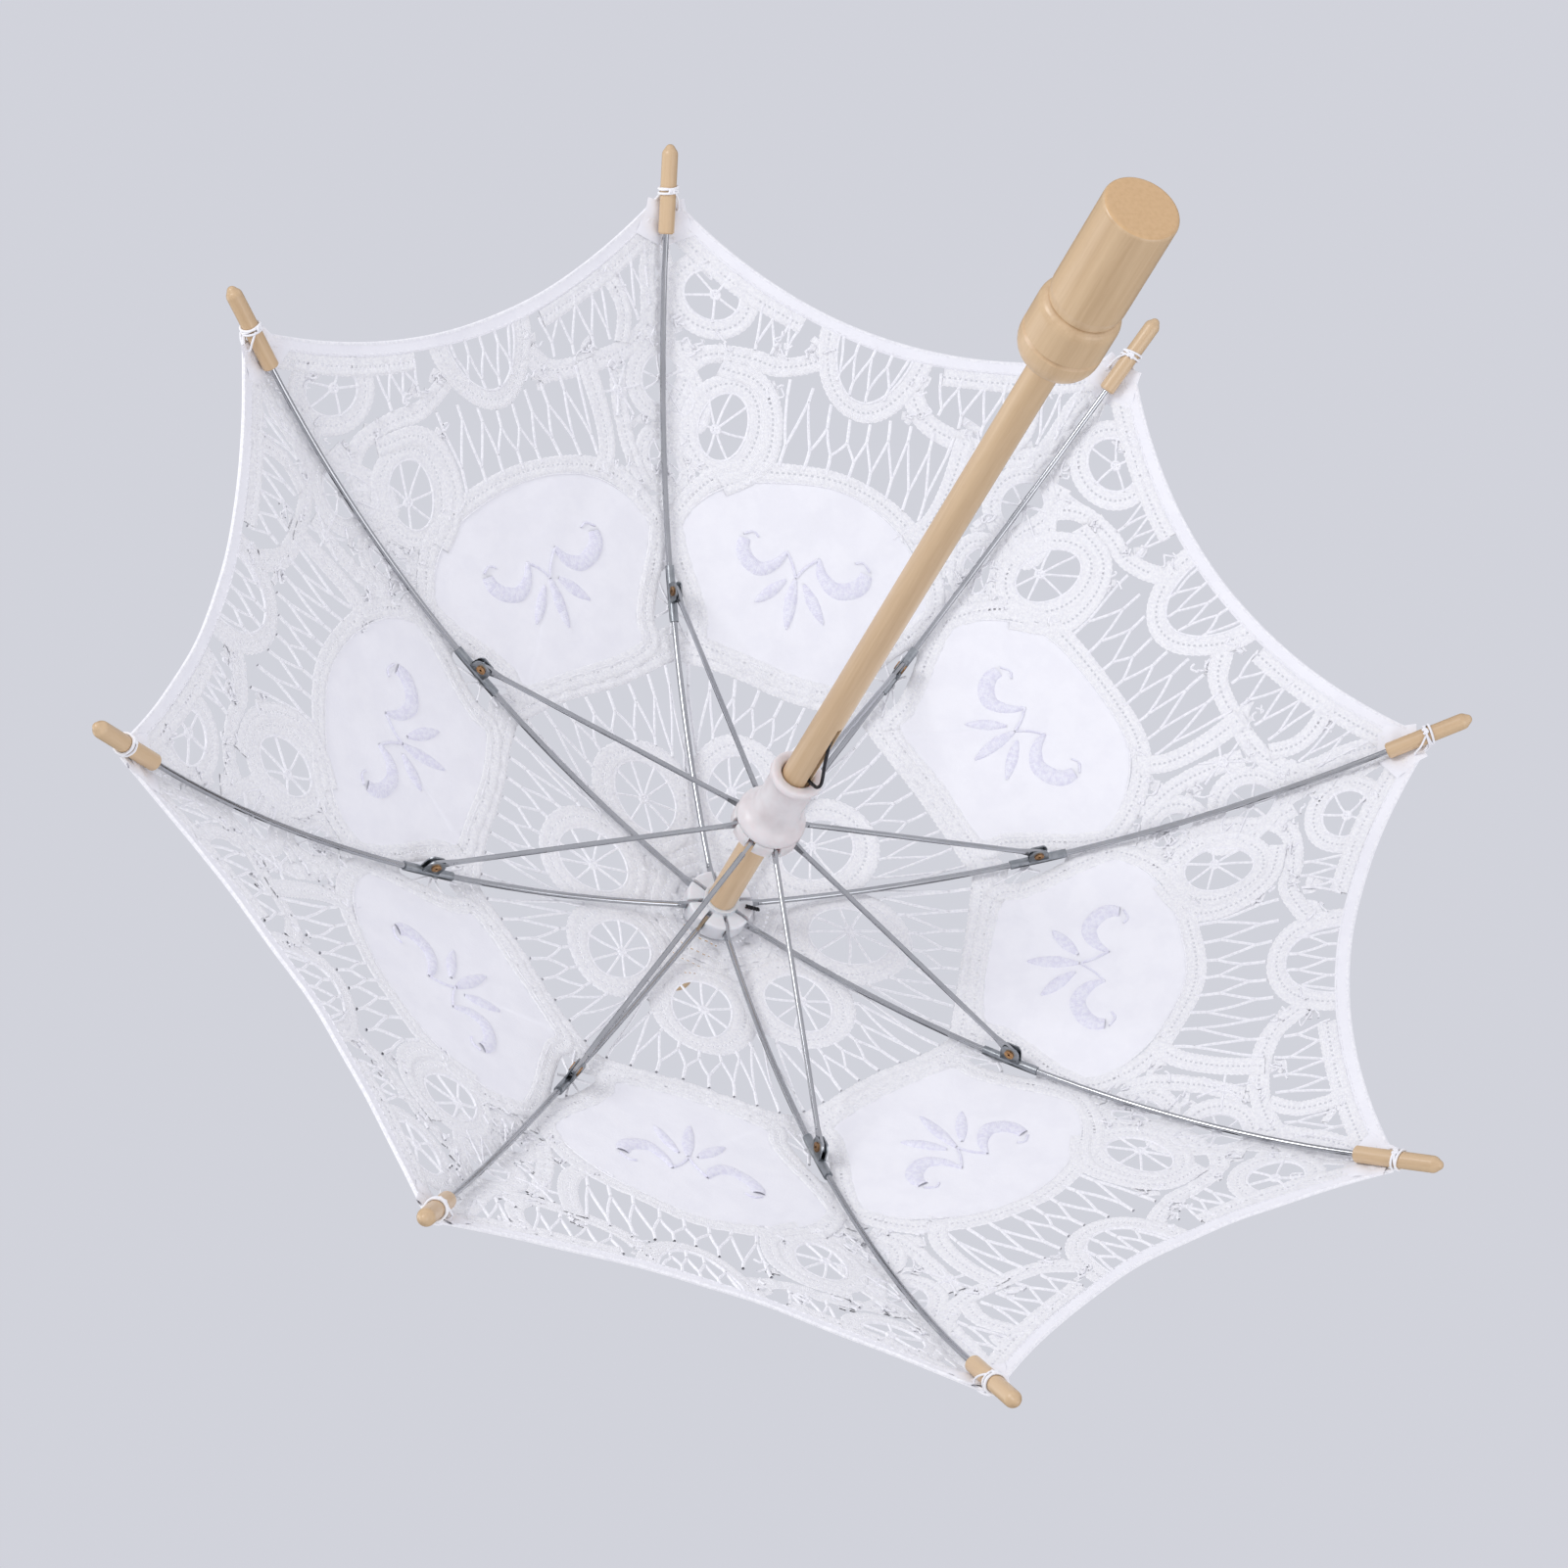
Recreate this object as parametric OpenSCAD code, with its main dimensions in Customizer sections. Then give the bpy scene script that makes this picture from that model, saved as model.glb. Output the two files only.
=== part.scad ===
// Lace parasol on a turned wooden stick. Millimetres, +Z up, origin at the
// centre of the handle's flat lower end. Rib 1 points along +X.

/* [Stick] */
// Diameter of the wooden stick
stick_d = 10; // [8:0.5:14]
// Height of the ring that the ribs turn on, above the handle's lower end
crown_z = 368; // [320:1:440]
// Length of the catch spring's slot in the stick
slot_len = 34; // [30:1:40]

/* [Handle] */
// Diameter of the cylindrical grip
grip_d = 23.2; // [20:0.1:27]
// Length of the cylindrical grip
grip_len = 42; // [36:1:60]
// Diameter of the rounded collar above the grip
collar_d = 25.6; // [24:0.1:30]
// Length of the rounded collar
collar_len = 25; // [22:1:30]

/* [Ferrule] */
// Length of the wooden ferrule above the canopy
ferrule_len = 46; // [30:1:70]
// Diameter of the ferrule's base
ferrule_d = 17; // [14:0.5:22]

/* [Top notch and runner] */
// Diameter of the plastic top notch that holds the ribs
notch_d = 23.4; // [22:0.2:28]
// Radius of the wire ring in the top notch
notch_ring_r = 8.6; // [8:0.1:9.5]
// Diameter of the runner's slotted flange
flange_d = 24; // [23.6:0.2:28]
// Radius of the wire ring in the runner
runner_ring_r = 10.4; // [10.2:0.1:11]
// Drop of the runner's ring below the top notch's ring when open
open_drop = 51; // [44:1:60]
// Diameter of the runner's sleeve
sleeve_d = 14; // [13.4:0.2:15]
// Diameter of the rim at the sleeve's lower end
rim_d = 18; // [16:0.2:20]
// Length of the runner below its ring
sleeve_len = 31; // [26:1:36]

/* [Ribs and stretchers] */
// Diameter of the rib wire
rib_d = 2; // [1.6:0.1:2.6]
// Radius of the ribs' bow under the tension of the lace
bow_r = 365; // [320:5:460]
// Length of a rib from its pivot to its wooden tip
rib_len = 232; // [210:1:260]
// Length from the rib's pivot to the middle of its joint clip
clip_s = 106; // [95:1:115]
// Diameter of the stretcher wire
stretcher_d = 1.8; // [1.4:0.1:2.2]
// Depth of the joint rivet below the rib
rivet_drop = 4.2; // [3.8:0.1:5.5]
// Length of a joint clip along its rib
clip_len = 20; // [16:1:24]

/* [Wooden tips] */
// Length of a wooden rib tip
tip_len = 31; // [26:1:38]
// Diameter of a wooden rib tip
tip_d = 5.6; // [4.8:0.1:7]

/* [Canopy] */
// Thickness of the lace with its tapes
lace_t = 0.8; // [0.6:0.1:1.2]
// Rise of the hem between two tips, along the ribs' length
scallop = 23; // [15:1:40]

/* [Catch spring] */
// Diameter of the spring wire
spring_d = 1.2; // [0.9:0.1:1.4]
// Reach of the spring's hook from the stick's axis
hook_r = 10; // [8.5:0.5:11]
// Direction that the spring points in
spring_az = 202.5; // [0:22.5:337.5]

/* [Hidden] */
$fn = 64;
ribs = 8;
step = 360 / ribs;
bow_start = 5.5;
gap = 0.3;
wall = 0.5;

stick_r = stick_d / 2;
runner_z = crown_z - open_drop;
ferrule_z = crown_z + 6.2;
stick_top = ferrule_z + 14;
stick_low = 8;

// The bow of a rib, in the plane of radius and height.
function deg(s) = s * 180 / PI;
function slope(s) = bow_start + deg(s / bow_r);
function bow_x(s) = notch_ring_r + bow_r * (sin(slope(s)) - sin(bow_start));
function bow_z(s) = crown_z + bow_r * (cos(slope(s)) - cos(bow_start));

// Eyes, slots and pivots.
rib_eye_r = 2.1;
neck_share = 0.7;
eye_t = 1.1;
slot_w = eye_t + 0.5;
flange_slot_w = stretcher_d + 0.3;
ring_wire_r = 0.6;
ring_hole_r = ring_wire_r + gap;
runner_eye_r = 1.5;
runner_wire_r = 0.5;
runner_hole_r = runner_wire_r + gap;
notch_low = 3;
notch_high = 4.5;
flange_low = 2.4;
flange_high = 2.6;
bell_r = runner_ring_r - runner_eye_r - 2 * gap;
runner_bore_r = stick_r + 0.1;

// The joint clip and its rivet.
ear_gap = eye_t + 0.4;
ear_t = wall;
ear_r = 2.7;
rivet_r = 0.9;
pivot_hole_r = rivet_r + 0.1;
clip_eye_r = 2.1;
rivet_x = bow_x(clip_s) - rivet_drop * sin(slope(clip_s));
rivet_z = bow_z(clip_s) - rivet_drop * cos(slope(clip_s));

// A stretcher runs straight from the rivet to the runner's ring.
reach_x = rivet_x - runner_ring_r;
reach_z = rivet_z - runner_z;
stretcher_len = norm([reach_x, reach_z]);
stretcher_tilt = atan2(reach_z, reach_x);

// The wooden tip on a rib's end.
socket_len = 8;
spigot_d = rib_d - 0.2;
tip_hole_s = tip_len * 0.48;
tip_x = bow_x(rib_len);
tip_z = bow_z(rib_len);
tip_slope = slope(rib_len);

// The canopy runs from the stick to the tie holes in the tips.
lace_in = -2.2;
lace_out = rib_len + tip_hole_s - 1;
along = 16;
across = 8;
clear_rib = rib_d / 2 + wall + gap + 0.3;
notch_rise = notch_high + 0.6 - clear_rib;
tip_rise = (tip_d - rib_d) / 2 - wall;

// The catch spring stands just below the runner, in the plane of its slot.
spring_r = spring_d / 2;
spring_top = runner_z - sleeve_len - 1;
spring_low = spring_top - 25;
spring_pivot = [0.5, spring_low - 4];
hook_bend = 2.4;

// Turns its children from the XZ plane to rib i.
module at_rib(i) {
    rotate([0, 0, (i - 1) * step]) children();
}

// A flat shape drawn in radius and height, made t thick about the rib's plane.
module plate(t) {
    rotate([90, 0, 0]) translate([0, 0, -t / 2]) linear_extrude(t) children();
}

// Moves a flat shape's or a solid's own X axis onto a line in the rib's plane.
module along_line(x, z, fall) {
    translate([x, 0, z]) rotate([0, fall, 0]) children();
}

// A round bar or tube that follows the bow from one length to another.
module bow(from, to) {
    translate([notch_ring_r - bow_r * sin(bow_start), 0, crown_z - bow_r * cos(bow_start)])
        rotate([90, 0, 0])
            rotate([0, 0, 90 - slope(to)])
                rotate_extrude(angle = slope(to) - slope(from), $fn = 96)
                    translate([bow_r, 0]) children();
}

// A flattened wire end: a round eye at the origin and a neck that tapers to the wire along +X.
module eye_plate(eye_r, neck_r, neck_len) {
    circle(r = eye_r);
    polygon([[0, eye_r], [0, -eye_r], [neck_len, -neck_r], [neck_len, neck_r]]);
}

module stick() {
    color("burlywood")
        difference() {
            translate([0, 0, stick_low]) cylinder(d = stick_d, h = stick_top - stick_low);
            rotate([0, 0, spring_az])
                translate([0.8 - stick_r, -spring_r - gap, spring_top - slot_len + 3])
                    cube([stick_d, 2 * (spring_r + gap), slot_len]);
        }
}

// Points on an oval about a centre, between two angles.
function oval_arc(centre, rx, rz, from, to, steps = 7) =
    [for (k = [0:steps]) let (a = from + k * (to - from) / steps)
     centre + [rx * cos(a), rz * sin(a)]];

// The turned handle: a plain grip, a neck line, then a rounded collar with one incised line.
module handle() {
    grip_r = grip_d / 2;
    edge = 1.4;
    collar_r = collar_d / 2;
    line_z = grip_len + collar_len * 0.58;
    end_z = grip_len + collar_len;
    shoulder = [3.2, 4.2];
    foot = [4.6, 7.6];
    color("burlywood")
        difference() {
            rotate_extrude($fn = 96)
                difference() {
                    union() {
                        translate([0, edge]) square([grip_r, grip_len - edge - 4]);
                        square([grip_r - edge, grip_len]);
                        translate([grip_r - edge, edge]) circle(r = edge);
                        polygon([[0, grip_len - 4], [grip_r, grip_len - 4],
                                 [grip_r - 0.7, grip_len - 0.4], [grip_r - 1.6, grip_len],
                                 [0, grip_len]]);
                        polygon(concat([[0, grip_len]],
                                       oval_arc([collar_r - shoulder[0], grip_len + shoulder[1]],
                                                shoulder[0], shoulder[1], -90, 0),
                                       oval_arc([collar_r - foot[0], end_z - foot[1] - 0.4],
                                                foot[0], foot[1], 0, 78),
                                       [[stick_r + 2, end_z], [0, end_z]]));
                    }
                    translate([collar_r, line_z]) rotate([0, 0, 45])
                        square(1.2, center = true);
                    translate([-40, -1]) square([40, end_z + 2]);
                }
            translate([0, 0, stick_low]) cylinder(d = stick_d, h = end_z);
        }
}

// The turned ferrule holds the canopy down on the top notch.
module ferrule() {
    base_r = ferrule_d / 2;
    tip_r = stick_r + 1;
    color("burlywood")
        translate([0, 0, ferrule_z])
            difference() {
                rotate_extrude($fn = 96)
                    union() {
                        square([base_r - 1, 5]);
                        translate([0, 1]) square([base_r, 3]);
                        translate([base_r - 1, 1]) circle(r = 1);
                        translate([base_r - 1, 4]) circle(r = 1);
                        polygon([[0, 5], [base_r - 2.2, 5], [base_r - 2.2, 6.4],
                                 [base_r - 1.2, 9], [base_r - 1.4, 16],
                                 [tip_r, ferrule_len - tip_r], [0, ferrule_len - tip_r]]);
                        intersection() {
                            translate([0, ferrule_len - tip_r]) circle(r = tip_r);
                            translate([0, ferrule_len - tip_r]) square(tip_r);
                        }
                    }
                translate([0, 0, -1]) cylinder(d = stick_d, h = stick_top - ferrule_z + 1);
            }
}

// Eight radial slots, open outwards, and the groove that holds the wire ring.
module slots(from_r, to_r, low, high, w) {
    for (i = [1:ribs])
        at_rib(i)
            translate([from_r, -w / 2, low])
                cube([to_r - from_r, w, high - low]);
}

module ring_groove(r, wire_r, low, high) {
    translate([0, 0, low])
        difference() {
            cylinder(r = r + wire_r + gap / 2, h = high - low);
            translate([0, 0, -1]) cylinder(r = r - wire_r - gap / 2, h = high - low + 2);
        }
}

module wire_ring(r, wire_r) {
    rotate_extrude($fn = 96) translate([r, 0]) circle(r = wire_r, $fn = 32);
}

module top_notch() {
    notch_r = notch_d / 2;
    color("whitesmoke")
        translate([0, 0, crown_z])
            difference() {
                rotate_extrude($fn = 96)
                    union() {
                        translate([0, -notch_low]) square([notch_r - 0.8, notch_low + notch_high]);
                        translate([0, -notch_low + 0.8])
                            square([notch_r, notch_low + notch_high - 1.6]);
                        translate([notch_r - 0.8, notch_high - 0.8]) circle(r = 0.8);
                        translate([notch_r - 0.8, 0.8 - notch_low]) circle(r = 0.8);
                        translate([0, -notch_low - 1.4]) square([stick_r + 1.1, 2]);
                    }
                translate([0, 0, -notch_low - 3]) cylinder(d = stick_d, h = 20);
                slots(notch_ring_r - rib_eye_r - gap, notch_r + 1, -notch_low - 1,
                      rib_eye_r + gap, slot_w);
                ring_groove(notch_ring_r, ring_wire_r, -ring_wire_r - gap / 2, notch_high + 1);
            }
}

module top_notch_ring() {
    color("silver") translate([0, 0, crown_z]) wire_ring(notch_ring_r, ring_wire_r);
}

// The runner: a slotted flange on a bell that narrows to a sleeve with a rim.
module runner() {
    flange_r = flange_d / 2;
    sleeve_r = sleeve_d / 2;
    rim_r = rim_d / 2;
    rim_h = 3;
    throat = 13;
    flare = bell_r - sleeve_r;
    edge = 0.6;
    color("whitesmoke")
        translate([0, 0, runner_z])
            difference() {
                rotate_extrude($fn = 96)
                    polygon([[0, -sleeve_len], [rim_r - edge, -sleeve_len],
                             [rim_r, edge - sleeve_len], [rim_r, rim_h - edge - sleeve_len],
                             [rim_r - edge, rim_h - sleeve_len],
                             [sleeve_r, rim_h + 1.2 - sleeve_len], [sleeve_r, -throat - 3],
                             [bell_r - 0.7 * flare, -throat],
                             [bell_r - 0.25 * flare, -flange_low - 5.5],
                             [bell_r, -flange_low - 3], [bell_r, -flange_low],
                             [flange_r - edge, -flange_low], [flange_r, edge - flange_low],
                             [flange_r, flange_high - edge], [flange_r - edge, flange_high],
                             [stick_r + 1.8, flange_high], [stick_r + 1.4, flange_high + 1.4],
                             [0, flange_high + 1.4]]);
                translate([0, 0, -sleeve_len - 1])
                    cylinder(r = runner_bore_r, h = sleeve_len + flange_high + 5);
                slots(bell_r, flange_r + 1, -flange_low - 1, flange_high + 1,
                      flange_slot_w);
                ring_groove(runner_ring_r, runner_wire_r, -runner_wire_r - gap / 2,
                            flange_high + 1);
            }
}

module runner_ring() {
    color("silver") translate([0, 0, runner_z]) wire_ring(runner_ring_r, runner_wire_r);
}

// The catch spring: a leg anchored in the slot, a long slope out, a rounded hook and a steep return.
function spring_line() =
    let (hook = [hook_r - spring_r - hook_bend, spring_top - 5],
         free = [2.6, spring_top - spring_r])
    concat([spring_pivot, [stick_r - 1.2, spring_low]],
           [for (k = [0:6]) let (a = k * 17 - 15) hook + hook_bend * [cos(a), sin(a)]],
           [free]);
function heading(line, k) =
    let (d = line[min(k + 1, len(line) - 1)] - line[max(k - 1, 0)]) d / norm(d);

// A round wire swept along points in the plane of radius and height.
module flat_wire(line, r) {
    sides = 12;
    last = len(line) - 1;
    points = [for (k = [0:last], j = [0:sides - 1])
              let (d = heading(line, k), a = j * 360 / sides)
              [line[k][0] + r * cos(a) * d[1], r * sin(a), line[k][1] - r * cos(a) * d[0]]];
    skin = [for (k = [0:last - 1], j = [0:sides - 1], f = [0, 1])
            let (a = k * sides + j, b = k * sides + (j + 1) % sides)
            f == 0 ? [a, b, a + sides] : [b, b + sides, a + sides]];
    ends = [[for (j = [sides - 1:-1:0]) j], [for (j = [0:sides - 1]) last * sides + j]];
    polyhedron(points, concat(skin, ends), convexity = 4);
}

module catch_spring() {
    color("black") rotate([0, 0, spring_az]) flat_wire(spring_line(), spring_r);
}

// A bowed wire with a flattened eye on the top notch's ring and a straight end in the tip.
module rib(i) {
    color("silver")
        at_rib(i)
            difference() {
                union() {
                    along_line(notch_ring_r, crown_z, bow_start)
                        plate(eye_t) eye_plate(rib_eye_r, neck_share * rib_d / 2, 9);
                    bow(6, rib_len) circle(d = rib_d, $fn = 32);
                    along_line(tip_x, tip_z, tip_slope) translate([-1, 0, 0])
                        rotate([0, 90, 0]) cylinder(d = spigot_d, h = socket_len + 1 - gap, $fn = 32);
                }
                along_line(notch_ring_r, crown_z, 0) plate(4) circle(r = ring_hole_r, $fn = 32);
            }
}

// A turned wooden tip with a bullet end, a socket for the rib and a cross hole for the thread.
module rib_tip(i) {
    tip_r = tip_d / 2;
    nose = tip_r * 1.3;
    color("burlywood")
        at_rib(i)
            along_line(tip_x, tip_z, tip_slope)
                difference() {
                    rotate([0, 90, 0])
                        rotate_extrude($fn = 48)
                            intersection() {
                                union() {
                                    square([tip_r - 0.4, tip_len - nose]);
                                    translate([0, 0.4]) square([tip_r, tip_len - nose - 0.4]);
                                    translate([0, tip_len - nose])
                                        intersection() {
                                            circle(r = tip_r);
                                            square(tip_r);
                                        }
                                    translate([0, tip_len - tip_r * 0.62]) circle(r = tip_r * 0.62);
                                    polygon([[0, tip_len - nose], [tip_r, tip_len - nose],
                                             [tip_r * 0.93, tip_len - nose + tip_r * 0.36],
                                             [tip_r * 0.55, tip_len - tip_r * 0.34],
                                             [0, tip_len - tip_r * 0.34]]);
                                }
                                square([tip_r, tip_len]);
                            }
                    translate([-1, 0, 0]) rotate([0, 90, 0])
                        cylinder(d = spigot_d + 0.1, h = socket_len + 1, $fn = 32);
                    translate([tip_hole_s, 0, -tip_d]) cylinder(r = 0.8, h = 2 * tip_d, $fn = 24);
                }
}

// A folded steel clip: a channel crimped round the rib and two ears for the rivet.
module joint_clip(i) {
    half = clip_len / 2;
    ear_x = 3.4;
    color("gainsboro")
        at_rib(i)
            difference() {
                union() {
                    bow(clip_s - half, clip_s + half)
                        difference() {
                            circle(r = rib_d / 2 + 0.05 + wall, $fn = 32);
                            circle(r = rib_d / 2 + 0.05, $fn = 32);
                        }
                    for (side = [-1, 1])
                        along_line(bow_x(clip_s), bow_z(clip_s), slope(clip_s))
                            translate([0, side * (ear_gap + ear_t) / 2, 0])
                                plate(ear_t) {
                                    translate([-ear_x, -rivet_drop])
                                        square([2 * ear_x, rivet_drop - rib_d / 2]);
                                    intersection() {
                                        translate([0, -rivet_drop]) circle(r = ear_x);
                                        translate([-ear_x, -rivet_drop - ear_r])
                                            square([2 * ear_x, ear_r + 1]);
                                    }
                                }
                }
                along_line(rivet_x, rivet_z, 0) plate(6) circle(r = rivet_r + 0.05, $fn = 32);
            }
}

// A hollow brass rivet with two rolled heads, through both ears.
module joint_rivet(i) {
    half = ear_gap / 2 + ear_t;
    head_t = 0.45;
    color("peru")
        at_rib(i)
            translate([rivet_x, 0, rivet_z])
                rotate([90, 0, 0])
                    difference() {
                        union() {
                            translate([0, 0, -half]) cylinder(r = rivet_r, h = 2 * half, $fn = 32);
                            for (side = [0, 1])
                                mirror([0, 0, side])
                                    translate([0, 0, half]) cylinder(r = 1.7, h = head_t, $fn = 32);
                        }
                        translate([0, 0, -5]) cylinder(r = rivet_r / 2, h = 10, $fn = 24);
                    }
}

// A straight wire with a flattened eye on the clip's rivet and one on the runner's ring.
module stretcher(i) {
    neck = 7;
    color("silver")
        at_rib(i)
            translate([runner_ring_r, 0, runner_z])
                rotate([0, -stretcher_tilt, 0])
                    difference() {
                        union() {
                            plate(eye_t) eye_plate(runner_eye_r, neck_share * stretcher_d / 2, neck);
                            translate([stretcher_len, 0, 0]) mirror([1, 0, 0])
                                plate(eye_t)
                                    eye_plate(clip_eye_r, neck_share * stretcher_d / 2, neck + 1);
                            translate([neck - 2, 0, 0]) rotate([0, 90, 0])
                                cylinder(d = stretcher_d, h = stretcher_len - 2 * neck + 3,
                                         $fn = 32);
                        }
                        plate(4) circle(r = runner_hole_r, $fn = 32);
                        translate([stretcher_len, 0, 0])
                            plate(4) circle(r = pivot_hole_r, $fn = 32);
                    }
}

// One eighth of the canopy, from mid-gore to mid-gore, with its rib along the middle.
// u runs from the stick to the hem, and v from -1 to 1 across the sector.
function over_notch(s) = s < 5 ? 1 : s > 34 ? 0 : (1 + cos((s - 5) * 180 / 29)) / 2;
function over_tip(s) = max(0, min(1, (s - rib_len + 18) / 16));
function lift(s) = clear_rib + notch_rise * over_notch(s) + tip_rise * over_tip(s);
function hem_s(v) = lace_out - scallop * (1 - pow(1 - abs(v), 2));
function lace_s(u, v) = lace_in + u * (hem_s(v) - lace_in);
function chord(x, v, cut) =
    [x * (1 - abs(v) * (1 - cos(step)) / 2), x * v * sin(step) / 2 - sign(v) * cut * abs(v)];
function lace_point(u, v, t) =
    let (s = lace_s(u, v), a = slope(s), h = lift(s) + t,
         p = chord(bow_x(s) + h * sin(a), v, gap / 2))
    [p[0], p[1], bow_z(s) + h * cos(a)];

module canopy(i) {
    row = across + 1;
    sheet = (along + 1) * row;
    points = [for (t = [0, lace_t], m = [0:along], n = [0:across])
              lace_point(m / along, 2 * n / across - 1, t)];
    lower = [for (m = [0:along - 1], n = [0:across - 1], k = [0, 1])
             let (a = m * row + n)
             k == 0 ? [a, a + 1, a + row] : [a + 1, a + row + 1, a + row]];
    upper = [for (f = lower) [f[0] + sheet, f[2] + sheet, f[1] + sheet]];
    border = concat([for (n = [0:across - 1]) n],
                    [for (m = [0:along - 1]) m * row + across],
                    [for (n = [across:-1:1]) along * row + n],
                    [for (m = [along:-1:1]) m * row]);
    count = len(border);
    edge = [for (k = [0:count - 1], f = [0, 1])
            let (a = border[k], b = border[(k + 1) % count])
            f == 0 ? [b, a, a + sheet] : [b, a + sheet, b + sheet]];
    color("white") at_rib(i) polyhedron(points, concat(lower, upper, edge), convexity = 4);
}

stick();
handle();
ferrule();
top_notch();
top_notch_ring();
runner();
runner_ring();
catch_spring();
for (i = [1:ribs]) {
    rib(i);
    rib_tip(i);
    joint_clip(i);
    joint_rivet(i);
    stretcher(i);
    canopy(i);
}
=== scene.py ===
"""Lace parasol: materials, lace canopy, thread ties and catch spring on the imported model."""
import math

import bpy
import numpy as np
from mathutils import Matrix, Vector


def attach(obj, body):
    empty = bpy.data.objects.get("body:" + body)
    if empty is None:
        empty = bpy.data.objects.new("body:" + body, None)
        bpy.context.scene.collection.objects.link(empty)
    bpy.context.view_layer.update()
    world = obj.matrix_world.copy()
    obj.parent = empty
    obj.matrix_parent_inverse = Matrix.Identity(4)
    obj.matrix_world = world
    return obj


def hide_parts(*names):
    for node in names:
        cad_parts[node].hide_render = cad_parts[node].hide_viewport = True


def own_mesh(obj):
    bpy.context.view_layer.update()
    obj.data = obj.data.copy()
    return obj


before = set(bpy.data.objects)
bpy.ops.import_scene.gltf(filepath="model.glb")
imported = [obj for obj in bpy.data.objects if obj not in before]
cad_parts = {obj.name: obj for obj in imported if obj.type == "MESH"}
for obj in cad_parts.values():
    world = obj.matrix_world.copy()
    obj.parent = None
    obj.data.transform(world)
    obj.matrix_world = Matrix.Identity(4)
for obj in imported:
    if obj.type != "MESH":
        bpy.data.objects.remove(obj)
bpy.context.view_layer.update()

MM = 0.001
END_TONE_DEPTH = 0.0004
GORES = 8
RIBS = range(GORES)
STEP = math.radians(45)
HALF = STEP / 2
RNG = np.random.RandomState(7)

# The canopy's bow, in millimetres, as the CAD source has it.
BOW_R = 365.0
BOW_START = math.radians(5.5)
RING_R = 8.6
CROWN_Z = 368.0
RIB_LEN = 232.0
TIP_HOLE = 14.9
HEM_RISE = 23.0
LACE_OUT = RIB_LEN + TIP_HOLE - 1
CLEAR_RIB = 2.1
MIDDLE = 0.55
SEAM_STEP = 0.01


def slope(s):
    return BOW_START + s / BOW_R


def bow_x(s):
    return RING_R + BOW_R * (np.sin(slope(s)) - math.sin(BOW_START))


def bow_z(s):
    return CROWN_Z + BOW_R * (np.cos(slope(s)) - math.cos(BOW_START))


def half_width(s):
    """Half the width of a gore at a length s along its ribs."""
    return bow_x(s) * math.sin(HALF)


def lift(s):
    """Height of the lace's lower face over the middle of a rib."""
    notch = 0.5 + 0.5 * np.cos(np.clip((s - 5) / 29, 0, 1) * math.pi)
    tip = np.clip((s - RIB_LEN + 18) / 16, 0, 1)
    return CLEAR_RIB + 3.0 * notch + 1.3 * tip


def hem_s(w):
    """Length along the gore where the scalloped hem crosses w."""
    share = 1 - np.clip(np.abs(w) / half_width(LACE_OUT - 3), 0, 1)
    return LACE_OUT - HEM_RISE * (1 - (1 - share) ** 2)


def drape(angle, s):
    """Small slack waves of the cloth, upwards only, larger between the ribs and towards the hem."""
    between = np.abs(np.sin(4 * angle)) * np.clip((s - 20) / 120, 0, 1)
    wave = np.sin(17 * angle + 0.06 * s) + np.sin(29 * angle - 0.11 * s + 1.3)
    return between * (0.55 + 0.22 * wave)


def on_canopy(k, w, s, h):
    """Gore k's cloth coordinates in millimetres, as points in metres.

    Past a rib, w runs on into the next gore.
    """
    a = slope(s)
    up = lift(s) + MIDDLE + h
    x = bow_x(s) + up * np.sin(a)
    half = x * math.sin(HALF)
    turn = np.where(w > half, 1.0, np.where(w < -half, -1.0, 0.0))
    across = w - 2 * half * turn
    azimuth = (k + 0.5 + turn) * STEP
    mid = x * math.cos(HALF)
    up = up + drape(azimuth + np.arctan2(across, mid), s)
    x = bow_x(s) + up * np.sin(a)
    z = bow_z(s) + up * np.cos(a)
    mid = x * math.cos(HALF)
    east = mid * np.cos(azimuth) - across * np.sin(azimuth)
    north = mid * np.sin(azimuth) + across * np.cos(azimuth)
    return np.stack([east, north, z], -1) * MM


# ---------------------------------------------------------------- flat cloth

TAPE, THREAD, COTTON, SATIN = range(4)


class Cloth:
    """Faces of one gore in flat millimetres: w across from mid-gore, s along from the stick, h proud."""

    def __init__(self):
        self.points = []
        self.uvs = []
        self.faces = []
        self.finishes = []
        self.count = 0

    def add(self, points, uvs, faces, finish):
        self.points.append(points)
        self.uvs.append(uvs)
        self.faces.append(faces + self.count)
        self.finishes.append(np.full(len(faces), finish))
        self.count += len(points)


def catmull_rom(p, t):
    """Points between each two inner points of p, at the shares t, and the last inner point."""
    out = []
    for a, b, c, d in zip(p[:-3], p[1:-2], p[2:-1], p[3:]):
        out.append(0.5 * (2 * b + (c - a) * t + (2 * a - 5 * b + 4 * c - d) * t ** 2
                          + (3 * b - a - 3 * c + d) * t ** 3))
    return np.vstack(out + [p[-2][None]])


def smooth(points, step, closed=False):
    """A Catmull-Rom curve through flat points, cut into equal steps."""
    p = np.array(points, float)
    if closed:
        p = np.vstack([p[-1], p, p[0], p[1]])
    else:
        p = np.vstack([2 * p[0] - p[1], p, 2 * p[-1] - p[-2]])
    fine = catmull_rom(p, np.linspace(0, 1, 24, endpoint=False)[:, None])
    run = np.concatenate([[0], np.cumsum(np.linalg.norm(np.diff(fine, axis=0), axis=1))])
    cells = max(2, 2 * round(run[-1] / step / 2))
    at = np.linspace(0, run[-1], cells + 1)
    return np.stack([np.interp(at, run, fine[:, j]) for j in range(p.shape[1])], -1)


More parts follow.
